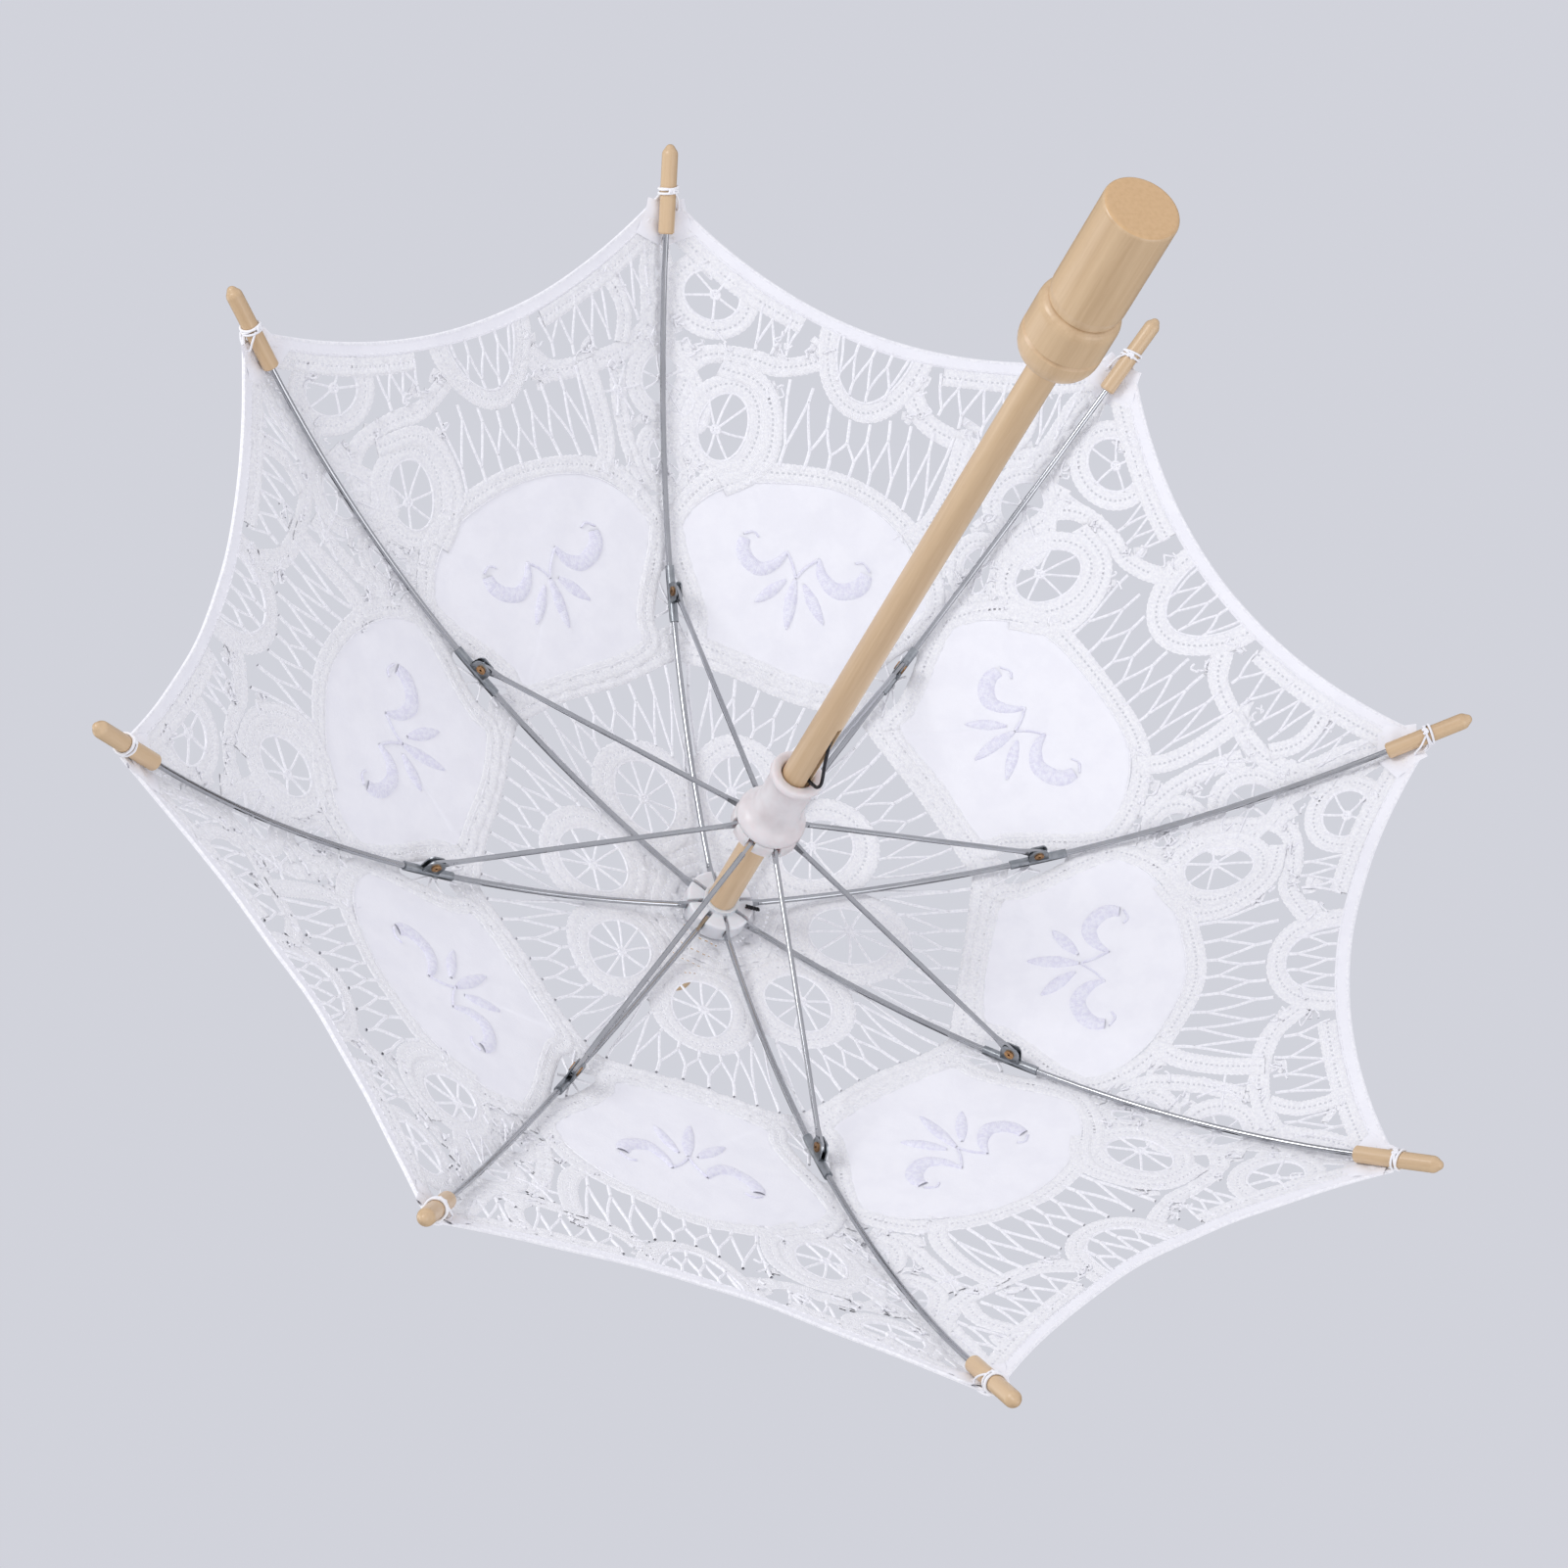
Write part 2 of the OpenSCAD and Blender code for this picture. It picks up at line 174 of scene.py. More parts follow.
def sideways(path, closed):
    """Unit vectors across a flat path."""
    if closed:
        d = np.roll(path[:-1], -1, 0) - np.roll(path[:-1], 1, 0)
        d = np.vstack([d, d[:1]])
    else:
        d = np.gradient(path, axis=0)
    d = d / np.maximum(np.linalg.norm(d, axis=1, keepdims=True), 1e-9)
    return np.stack([d[:, 1], -d[:, 0]], -1)


def strip_faces(rows, ring):
    """Quads between neighbouring rows of a closed ring of points."""
    r, c = np.meshgrid(np.arange(rows - 1), np.arange(ring), indexing="ij")
    a = r * ring + c
    b = r * ring + (c + 1) % ring
    return np.stack([a, b, b + ring, a + ring], -1).reshape(-1, 4)


def tape(cloth, points, width, closed=False, h=0.0, wave=0.0, step=0.95):
    """Woven tape with thick selvedges and a middle row of small holes between ladder bars."""
    path = smooth(points, step, closed)
    n = len(path)
    run = np.arange(n) * step
    side = sideways(path, closed)
    half = width / 2
    pick = 0.14 * (-1.0) ** np.arange(n)
    if closed:
        pick[-1] = pick[0]
    hole = 0.42
    across = np.stack([np.full(n, hole), np.full(n, hole), np.full(n, half * 0.5),
                       half - 0.55 + 0 * pick, half + pick, half - 0.55 + 0 * pick,
                       np.full(n, half * 0.5)], -1)
    proud = np.array([0.16, -0.16, -0.24, -0.34, 0.0, 0.34, 0.24])
    ripple = wave * np.sin(run * 0.9 + RNG.uniform(0, 6)) * np.sin(run * 0.23 + RNG.uniform(0, 6))
    ends = np.sin(np.clip(run / run[-1], 0, 1) * math.pi) ** 0.3 if not closed else 1.0
    rows = []
    uvs = []
    for sign in (1, -1):
        w = path[:, None, 0] + sign * across * side[:, None, 0]
        s = path[:, None, 1] + sign * across * side[:, None, 1]
        z = h + proud[None, :] + (ripple * ends)[:, None]
        rows.append(np.stack([w, s, z], -1))
        uvs.append(np.stack([np.repeat(run[:, None], 7, 1), sign * across], -1))
    base = np.arange(n - 1)[:, None] * 7
    ring = [(1, 2), (2, 3), (3, 4), (4, 5), (5, 6), (6, 0)]
    faces = []
    for flip in (0, 1):
        for a, b in ring:
            quad = np.hstack([base + a, base + b, base + 7 + b, base + 7 + a]) + flip * 7 * n
            faces.append(quad if flip == 0 else quad[:, ::-1])
    bars = base[1::2]
    gaps = base[0::2]
    other = 7 * n
    faces.append(np.hstack([bars, bars + 7, bars + 7 + other, bars + other]))
    faces.append(np.hstack([bars + 1, bars + 1 + other, bars + 8 + other, bars + 8]))
    for end in (bars, bars + 7):
        faces.append(np.hstack([end, end + 1, end + 1 + other, end + other]))
    faces.append(np.hstack([gaps, gaps + 1, gaps + 8, gaps + 7]))
    faces.append(np.hstack([gaps, gaps + 7, gaps + 8, gaps + 1]) + other)
    cloth.add(np.vstack([r.reshape(-1, 3) for r in rows]), np.vstack([u.reshape(-1, 2) for u in uvs]),
              np.vstack(faces), TAPE)


def band(cloth, points, width, h=0.0, thick=0.6, wave=0.0, step=2.0, finish=COTTON):
    """Plain folded cloth: a closed flat strip with rounded sides."""
    path = smooth(points, step)
    n = len(path)
    run = np.arange(n) * step
    side = sideways(path, False)
    half = width / 2
    across = np.array([-half, -half * 0.8, 0, half * 0.8, half, half * 0.8, 0, -half * 0.8])
    proud = thick / 2 * np.array([0, 1, 0.8, 1, 0, -1, -0.8, -1])
    ripple = wave * np.sin(run * 0.7 + RNG.uniform(0, 6))
    w = path[:, None, 0] + across * side[:, None, 0]
    s = path[:, None, 1] + across * side[:, None, 1]
    z = np.broadcast_to(h + proud, w.shape) + ripple[:, None]
    uv = np.stack([np.repeat(run[:, None], 8, 1), np.broadcast_to(across, w.shape)], -1)
    cloth.add(np.stack([w, s, z], -1).reshape(-1, 3), uv.reshape(-1, 2), strip_faces(n, 8), finish)


def thread(cloth, points, r=0.5, h=0.0, closed=False, step=1.6, sides=6, r_up=None, finish=THREAD):
    """A round thread, or with a radius for each point a satin-stitched shape."""
    path = smooth(points, step, closed)
    n = len(path)
    side = sideways(path, closed)
    if np.ndim(r):
        r = np.interp(np.linspace(0, 1, n), np.linspace(0, 1, len(r)), r)
    else:
        r = np.full(n, float(r))
    up = r if r_up is None else np.minimum(r, r_up)
    turn = np.arange(sides) * 2 * math.pi / sides
    w = path[:, None, 0] + r[:, None] * np.cos(turn) * side[:, None, 0]
    s = path[:, None, 1] + r[:, None] * np.cos(turn) * side[:, None, 1]
    z = h + up[:, None] * np.sin(turn)
    uv = np.stack([np.repeat(np.arange(n)[:, None] * step, sides, 1),
                   np.broadcast_to(turn / (2 * math.pi), w.shape)], -1)
    cloth.add(np.stack([w, s, z], -1).reshape(-1, 3), uv.reshape(-1, 2), strip_faces(n, sides), finish)


def jog(p, q, size=0.35):
    """A thread's path from p to q, slightly off straight."""
    p = np.array(p, float)
    q = np.array(q, float)
    mid = (p + q) / 2 + RNG.uniform(-size, size, 2)
    return [p, mid, q]


def oval(cx, cy, rx, ry, start=0.0, stop=360.0, n=28):
    """Points round an oval, from the side towards the stick."""
    a = np.radians(np.linspace(start, stop, n + 1))
    p = np.stack([cx + rx * np.sin(a), cy - ry * np.cos(a)], -1)
    return p[:-1] if stop - start >= 360 else p


def web(cloth, hub, cx, cy, rx, ry, spokes, spin=0.0):
    """Spokes from an oval's edge to a small woven knot."""
    hub = np.array(hub, float)
    for i in range(spokes):
        a = spin + (i + RNG.uniform(-0.16, 0.16)) * 2 * math.pi / spokes
        edge = np.array([cx + (rx + 0.9) * math.sin(a), cy - (ry + 0.9) * math.cos(a)])
        thread(cloth, jog(hub, edge), 0.46, h=RNG.uniform(-0.1, 0.1))
    thread(cloth, oval(*hub, 1.5, 1.4, n=10), 0.62, closed=True, step=1.0)
    thread(cloth, oval(*hub, 0.6, 0.55, n=6), 0.5, h=0.12, closed=True, step=0.8)


def tape_ring(cloth, cx, cy, hole, width, spokes, hub=None, h=0.0, spin=0.0):
    """An oval of tape round a hole with a corded edge and a web."""
    rx, ry = hole
    tape(cloth, oval(cx, cy, rx + width / 2, ry + width / 2), width, closed=True, h=h)
    thread(cloth, oval(cx, cy, rx + 0.25, ry + 0.25), 0.5, h=h, closed=True)
    web(cloth, hub or (cx, cy), cx, cy, rx, ry, spokes, spin)


def net(cloth, top, bottom, stub=5.0, r=0.55):
    """Short threads out of two rows of points, joined by threads that run down and up between them."""
    top = np.array(top, float)
    bottom = np.array(bottom, float)
    knots = []
    for row, other, before in ((top, bottom, 0), (bottom, top, -1)):
        ends = []
        for i, p in enumerate(row):
            near = other[max(i + before, 0):i + before + 2].mean(0)
            way = (near - p) / np.linalg.norm(near - p)
            end = p + way * stub * RNG.uniform(0.7, 1.25) + RNG.uniform(-0.5, 0.5, 2)
            thread(cloth, jog(p, end, 0.15), r + 0.08)
            ends.append(end)
        knots.append(ends)
    for i, p in enumerate(knots[0]):
        for q in knots[1][i:i + 2]:
            thread(cloth, jog(p, q, 0.3), r)


# ---------------------------------------------------------------- one gore's pattern

MEDALLION = [(-24.5, 92.5), (-28.5, 101), (-33.5, 110), (-39.5, 119), (-44.5, 127.5), (-46.5, 136),
             (-38, 149.5), (-24, 159), (0, 163.5), (24, 159), (38, 149.5), (46.5, 136),
             (44.5, 127.5), (39.5, 119), (33.5, 110), (28.5, 101), (24.5, 92.5), (0, 91.5)]
MEDALLION_MIDDLE = (0, 131)


def outset(w, s):
    """A point of the medallion's edge, moved out to the middle of the border tape."""
    grow = 1.065 if abs(w) < 40 else 1.055
    if s > 140:
        return w * grow, s + 3.4
    if s < 93:
        return w * grow, s - 1.2
    return w * grow, s


def medallion(cloth):
    """Puffed plain cotton, closed on both faces, with its taped border."""
    edge = smooth(MEDALLION, 2.2, True)
    n = len(edge)
    rings = np.array([0.0, 0.12, 0.24, 0.36, 0.48, 0.6, 0.7, 0.8, 0.88, 0.94, 1.0])
    mid = np.array(MEDALLION_MIDDLE, float)
    flat = mid + rings[:, None, None] * (edge - mid)
    puff = 0.28 * (1 - rings[:, None] ** 6) + 0.10 * np.sin(flat[..., 0] * 0.21 + flat[..., 1] * 0.16)
    uv = flat.reshape(-1, 2)
    rows = len(rings)
    quads = strip_faces(rows, n)
    over = np.dstack([flat, 0.1 + puff]).reshape(-1, 3)
    under = np.dstack([flat, -0.25 * (1 - rings[:, None] ** 6) + 0 * puff]).reshape(-1, 3)
    cloth.add(np.vstack([over, under]), np.vstack([uv, uv]),
              np.vstack([quads, quads[:, ::-1] + rows * n]), COTTON)
    outside = smooth([outset(w, s) for w, s in MEDALLION], 3, True)
    tape(cloth, outside[:-1], 7.0, closed=True, h=-0.1, wave=0.15)
    thread(cloth, edge[:-1], 0.3, h=-0.15, closed=True, step=1.4)


def leaf(cloth, root, tip, size):
    """One satin-stitched pointed leaf."""
    root = np.array(root, float)
    tip = np.array(tip, float)
    mid = (root + tip) / 2
    thread(cloth, [root, mid, tip], size * np.array([0.25, 0.7, 1, 0.95, 0.7, 0.15]), h=-0.2,
           step=0.9, sides=10, r_up=0.75, finish=SATIN)


def embroidery(cloth):
    """Three small leaves above two curled commas, with stems."""
    leaf(cloth, (0, 127), (0, 108.5), 2.4)
    leaf(cloth, (-3.5, 126), (-13, 114.5), 2.3)
    leaf(cloth, (3.5, 126), (13, 114.5), 2.3)
    for side in (-1, 1):
        curl = [(side * 6.0, 136.5), (side * 9.0, 131.0), (side * 14.5, 127.6), (side * 20.0, 129.6),
                (side * 23.0, 133.4), (side * 23.4, 137.4)]
        size = [0.6, 1.7, 2.5, 3.0, 3.1, 2.9, 2.2]
        thread(cloth, curl, size, h=-0.2, step=0.9, sides=10, r_up=0.85, finish=SATIN)
        thread(cloth, [(0, 127.5), (side * 2.5, 132), (side * 6.0, 136.2)], 0.45, h=-0.45,
               step=1.0, finish=SATIN)
        thread(cloth, [(side * 24.2, 139), (side * 21.0, 141), (side * 18.5, 139.6)], 0.4, h=-0.45,
               step=1.0, finish=SATIN)


LOOP_MIDDLE = (-1.0, 40.5)
CENTRE_THREADS = 8


def crown(cloth):
    """Gathered tape at the crown and the oval loop with its web."""
    wide = lambda s: half_width(s) + 1.5
    for s, h in ((3.5, 0.25), (10.5, -0.2), (17.0, 0.2)):
        tape(cloth, [(-wide(s), s), (-wide(s) * 0.4, s + 0.7), (wide(s) * 0.4, s - 0.5), (wide(s), s)],
             8.4, h=h, wave=0.45)
    tape(cloth, [(half_width(20) - 1, 20), (half_width(32) - 0.5, 32), (half_width(44) + 0.5, 44)], 8.0,
         h=0.35, wave=0.3)
    tape_ring(cloth, *LOOP_MIDDLE, (11.0, 14.8), 8.6, 9, hub=(-2.5, 40.0), spin=0.2)


def centre_net(cloth):
    """The net of threads from the oval loop out to the round band, and the band itself."""
    outer = []
    inner = []
    for i in range(CENTRE_THREADS):
        t = (i + 0.5) / CENTRE_THREADS * 2 - 1
        w = t * half_width(82)
        knot = (t * half_width(75.5) + RNG.uniform(-0.5, 0.5), 75.5 + RNG.uniform(-0.8, 0.8))
        thread(cloth, jog((w, 82.8), knot, 0.15), 0.58)
        outer.append(knot)
    for i in range(CENTRE_THREADS + 1):
        a = math.radians((i / CENTRE_THREADS - 0.5) * 2 * 86)
        rim = np.array([LOOP_MIDDLE[0] + 19.2 * math.sin(a), LOOP_MIDDLE[1] + 23.0 * math.cos(a)])
        away = np.array([math.sin(a) * 1.4, math.cos(a) * 4.2])
        knot = rim + away + RNG.uniform(-0.4, 0.4, 2)
        thread(cloth, [rim, (rim + knot) / 2, knot], 0.55)
        inner.append(knot)
    for i, knot in enumerate(outer):
        thread(cloth, jog(knot, inner[i]), 0.46)
        thread(cloth, jog(knot, inner[i + 1]), 0.46)
    wide = half_width(86) + 1.5
    tape(cloth, [(-wide, 86.5), (-wide * 0.5, 87.0), (0, 87.2), (wide * 0.5, 87.0), (wide, 86.5)], 7.6,
         h=0.15, wave=0.3)


def rib_web(cloth):
    """The small web between two medallions' shoulders, over the rib."""
    rib = half_width(102)
    web(cloth, (rib + 0.8, 101.5), rib, 102, 6.0, 10.5, 7, 0.3)
    for s, top in ((90.5, 92.5), (116, 119)):
        w = half_width(s)
        tape(cloth, [(w - 9, s + 1), (w, top), (w + 9, s + 1)], 6.5, h=0.3, wave=0.2)


def bars(cloth):
    """The long-meshed net between the medallion and the hem's arch."""
    top = [(w, 168.0 - 0.0035 * w * w) for w in (-19, -11, -3.5, 4, 11.5, 19.5, 27, 34)]
    low = []
    for w in (-25, -16, -8, 0, 7.5, 14.5, 22, 30, 37.5):
        over_arch = 217 - 25.5 * math.sqrt(max(0.0, 1 - ((w - 1) / 21.5) ** 2))
        low.append((w, min(over_arch, 196.5)))
    net(cloth, top, low, 7.5, 0.5)


def arch(cloth):
    """The swag of tape that stands on the hem at mid-gore, with its own net."""
    base = hem_s(0) - 2
    tape(cloth, oval(1, base, 17.6, base - 195.5, -88, 88, 24), 7.4, h=0.1)
    thread(cloth, oval(1, base, 14.1, base - 199.0, -88, 88, 24), 0.5)
    peak = [(1 + w, 199.6 + 0.035 * w * w) for w in (-9.5, -3.2, 3.2, 9.5)]
    foot = [(w + 1, base - 1.5) for w in (-12.5, -6.3, 0, 6.3, 12.5)]
    net(cloth, peak, foot, 5.0, 0.48)


def left_side(cloth):
    """The large ring, the net ring and the S of tape on the left of the gore."""
    tape_ring(cloth, -41.5, 173.0, (8.8, 12.6), 7.4, 7, hub=(-43.5, 171), spin=0.5)
    tape_ring(cloth, -61, 217.5, (10.0, 8.6), 7.0, 5, hub=(-60, 218), h=0.2, spin=0.1)
    tape(cloth, [(-36, 152), (-27.5, 160.5), (-23.5, 170), (-27, 184), (-36, 192.5), (-50, 193.5)], 6.6,
         h=-0.25)
    tape(cloth, [(-62, 188), (-55, 197), (-42, 200), (-30, 199.5), (-18, 206), (-14.5, 214)], 7.0, h=0.3,
         wave=0.3)
    tape(cloth, [(-56, 160), (-60.5, 172), (-60, 186), (-66, 198)], 7.0, h=0.25, wave=0.4)
    net(cloth, [(-41, 203.5), (-35, 203), (-29.5, 204)], [(-43, 221), (-38, 220), (-32, 220), (-27, 218)],
        3.5, 0.48)


def right_side(cloth):
    """The upright tape, the leaf and its threads on the right of the gore."""
    tape(cloth, [(33, 157), (39, 166), (41.5, 180), (41.5, 197)], 7.0, h=-0.2)
    tape(cloth, [(50, 147), (48, 160), (49.5, 176), (53, 190)], 6.4, h=0.25, wave=0.35)
    web(cloth, (50.5, 183), 51.5, 183, 7.0, 9.5, 6, 0.4)
    tape(cloth, [(19, 208), (27, 199), (40, 195.5), (56, 196), (70, 202.5), (80, 214)], 7.4, h=0.1)
    tape(cloth, [(57, 199), (60.5, 208), (60, 217), (56, 227)], 6.0, h=-0.2, wave=0.25)
    net(cloth, [(30, 202.5), (38, 200), (46, 200), (53, 201)],
        [(26, 218), (34, 220), (42, 221.5), (49, 223), (55, 225)], 4.5, 0.48)
    net(cloth, [(66, 205), (72, 209)], [(62, 226), (69, 228), (76, 231)], 4.0, 0.48)


def by_the_rib(cloth):
    """Tapes and webs that lie over the rib on the right of the gore."""
    def rib(s, off=0.0):
        return (half_width(s) + off, s)
    tape(cloth, [rib(118, -0.6), rib(130, 0.5), rib(142, -0.5)], 7.4, h=0.3, wave=0.25)
    tape_ring(cloth, half_width(154) + 1.5, 154.5, (5.6, 7.2), 6.4, 6, h=0.35, spin=0.2)
    tape_ring(cloth, half_width(182) + 2.5, 181.5, (9.6, 9.6), 6.6, 7, hub=(half_width(182) + 1, 182),
              h=0.1, spin=0.4)
    tape(cloth, [rib(194, 4), rib(206, 1), rib(218, 3), rib(230, 0), rib(240, 1)], 7.2, h=0.3, wave=0.5)
    tape(cloth, [rib(196, -6), rib(208, -5), rib(222, -5.5), rib(236, -3)], 6.8, h=0.0, wave=0.4)


# Where tapes meet in the outer zone, as places (w, s) in the cloth.
CRUMPLES = [(-58, 150), (-54, 158), (-60, 196), (-26, 162), (-27, 190), (-49, 200), (-20, 209),
            (-44, 152), (22, 199), (20, 212), (43, 158), (42, 201), (57, 149), (52, 193), (66, 200),
            (62, 222), (-70, 205), (-31, 205), (33, 158), (-66, 226), (55, 170), (47, 146)]


def crumple(cloth, w, s):
    """A puckered join where tapes meet: folded scraps of tape and twisted ends of thread."""
    for _ in range(2):
        at = np.array([w, s]) + RNG.uniform(-2.5, 2.5, 2)
        turn = RNG.uniform(0, math.pi)
        way = np.array([math.cos(turn), math.sin(turn)]) * RNG.uniform(2.2, 3.6)
        bend = np.array([-way[1], way[0]]) * RNG.uniform(-0.5, 0.5)
        band(cloth, [at - way, at + bend, at + way], RNG.uniform(2.0, 3.4), h=RNG.uniform(0.3, 0.8),
             thick=0.45, wave=0.35, step=0.9, finish=TAPE)
    for _ in range(3):
        p = np.array([w, s]) + RNG.uniform(-3.5, 3.5, 2)
        line = [p]
        for _ in range(3):
            line.append(line[-1] + RNG.uniform(-2.4, 2.4, 2))
        thread(cloth, line, RNG.uniform(0.3, 0.45), h=RNG.uniform(-0.45, -0.1), step=0.8)


def crumples(cloth):
    """The puckered joins all round the outer zone."""
    for w, s in CRUMPLES:
        crumple(cloth, w, s)


def hem(cloth):
    """The folded hem with its stitches, the tape inside it and the doubled corners at the tips."""
    reach = half_width(LACE_OUT - 3)
    w = np.linspace(-reach, reach, 41)
    line = np.stack([w, hem_s(w) - 2.4], -1)
    band(cloth, line, 4.8, thick=1.1, h=0.1)
    thread(cloth, np.stack([w, hem_s(w) - 0.3], -1), 0.75, h=0.1, step=2.4)
    run = smooth(np.stack([w, hem_s(w) - 4.0], -1), 1.45)
    for a, b in zip(run[:-1:2], run[1::2]):
        for side in (-1, 1):
            thread(cloth, [a, (a + b) / 2, b], 0.22, h=0.1 + side * 0.52, step=0.8, sides=4)
    for side in (-1, 1):
        inside = [(side * v, hem_s(v) - 8.2) for v in (27, 36, 46, 56, 66, 76, 84)]
        tape(cloth, inside, 6.6, h=-0.15, wave=0.2)
        corner = [(side * (reach - 9), LACE_OUT - 14), (side * (reach - 4), LACE_OUT - 8),
                  (side * (reach - 0.5), LACE_OUT - 2.5)]
        band(cloth, corner, 11.0, h=-0.35, thick=0.7, wave=0.3, step=1.5)


def by_hand(points):
    """The uneven work of a hand: small smooth shifts that fade out at the ribs and the hem."""
    w, s = points[:, 0], points[:, 1]
    inside = np.clip(1 - (w / half_width(s)) ** 2, 0, 1) * np.clip((hem_s(w) - s) / 25, 0, 1)
    a, b, c, d = RNG.uniform(0, 2 * math.pi, 4)
    moved = points.copy()
    moved[:, 0] += 1.9 * inside * np.sin(s / 13 + a) * np.cos(w / 19 + b)
    moved[:, 1] += 1.7 * inside * np.sin(w / 11 + c) * np.cos(s / 21 + d)
    return moved


def gore_cloth():
    """All the lace between two ribs, flat."""
    cloth = Cloth()
    crown(cloth)
    centre_net(cloth)
    medallion(cloth)
    embroidery(cloth)
    rib_web(cloth)
    bars(cloth)
    arch(cloth)
    left_side(cloth)
    right_side(cloth)
    by_the_rib(cloth)
    crumples(cloth)
    hem(cloth)
    points = by_hand(np.vstack(cloth.points))
    return points, np.vstack(cloth.uvs), np.vstack(cloth.faces), np.concatenate(cloth.finishes)


# ---------------------------------------------------------------- meshes

def make_mesh(name, points, faces, uvs=None, finishes=None, sharp=40.0):
    """A mesh object from arrays of metres and quads."""
    mesh = bpy.data.meshes.new(name)
    mesh.from_pydata([], [], [])
    mesh.vertices.add(len(points))
    mesh.vertices.foreach_set("co", np.asarray(points, np.float32).ravel())
    mesh.loops.add(len(faces) * 4)
    mesh.loops.foreach_set("vertex_index", np.asarray(faces, np.int32).ravel())
    mesh.polygons.add(len(faces))
    mesh.polygons.foreach_set("loop_start", np.arange(len(faces), dtype=np.int32) * 4)
    if finishes is not None:
        mesh.polygons.foreach_set("material_index", np.asarray(finishes, np.int32))
    if uvs is not None:
        layer = mesh.uv_layers.new(name="UVMap")
        layer.data.foreach_set("uv", np.asarray(uvs[np.asarray(faces).ravel()] * 0.01, np.float32).ravel())
    mesh.update(calc_edges=True)
    mesh.validate()
    mesh.shade_smooth()
    mesh.set_sharp_from_angle(angle=math.radians(sharp))
    piece = bpy.data.objects.new(name, mesh)
    bpy.context.scene.collection.objects.link(piece)
    return piece


def tube(points, r, sides=10, closed=False):
    """Points and quads of a round tube in space, in metres, with capped ends where it is open."""
    p = [Vector(q) for q in points]
    n = len(p)
    rings = []
    normal = None
    for i in range(n):
        if closed:
            d = p[(i + 1) % n] - p[i - 1]
        else:
            d = p[min(i + 1, n - 1)] - p[max(i - 1, 0)]
        d.normalize()
        if normal is None:
            normal = d.orthogonal()
        normal = (normal - d * normal.dot(d)).normalized()
        other = d.cross(normal)
        for j in range(sides):
            a = j * 2 * math.pi / sides
            rings.append(p[i] + r * (math.cos(a) * normal + math.sin(a) * other))
    faces = strip_faces(n, sides)
    if closed:
        last = (n - 1) * sides
        turn = [(last + j, last + (j + 1) % sides, (j + 1) % sides, j) for j in range(sides)]
        faces = np.vstack([faces, turn])
    else:
        caps = []
        for ring in (0, (n - 1) * sides):
            for j in range(1, sides - 2, 2):
                caps.append((ring, ring + j, ring + j + 1, ring + (j + 2) % sides))
        faces = np.vstack([faces, caps])
    return np.array([tuple(v) for v in rings]), faces


def curve_through(points, per=8):
    """A smooth line through points in space."""
    p = np.array(points, float)
    p = np.vstack([2 * p[0] - p[1], p, 2 * p[-1] - p[-2]])
    return catmull_rom(p, np.linspace(0, 1, per, endpoint=False)[:, None])


def join_tubes(name, parts, material):
    """One mesh object from several tubes."""
    points = []
    faces = []
    count = 0
    for pts, quads in parts:
        points.append(pts)
        faces.append(quads + count)
        count += len(pts)
    piece = make_mesh(name, np.vstack(points), np.vstack(faces), sharp=60.0)
    piece.data.materials.append(material)
    return piece


# ---------------------------------------------------------------- materials

def new_material(name):
    m = bpy.data.materials.new(name)
    m.use_nodes = True
    return m, m.node_tree.nodes, m.node_tree.links, m.node_tree.nodes["Principled BSDF"]


def node(nodes, kind, **values):
    n = nodes.new(kind)
    for key, value in values.items():
        if key in n.inputs:
            n.inputs[key].default_value = value
        else:
            setattr(n, key, value)
    return n


def bump(nodes, links, height, shader, distance, strength=1.0):
    b = node(nodes, "ShaderNodeBump", Strength=strength, Distance=distance)
    links.new(height, b.inputs["Height"])
    links.new(b.outputs["Normal"], shader.inputs["Normal"])
    return b


def ramp(nodes, links, fac, stops):
    r = nodes.new("ShaderNodeValToRGB")
    r.color_ramp.elements[0].position, r.color_ramp.elements[0].color = stops[0][0], (*stops[0][1], 1)
    r.color_ramp.elements[1].position, r.color_ramp.elements[1].color = stops[-1][0], (*stops[-1][1], 1)
    for at, colour in stops[1:-1]:
        r.color_ramp.elements.new(at).color = (*colour, 1)
    links.new(fac, r.inputs["Fac"])
    return r.outputs["Color"]


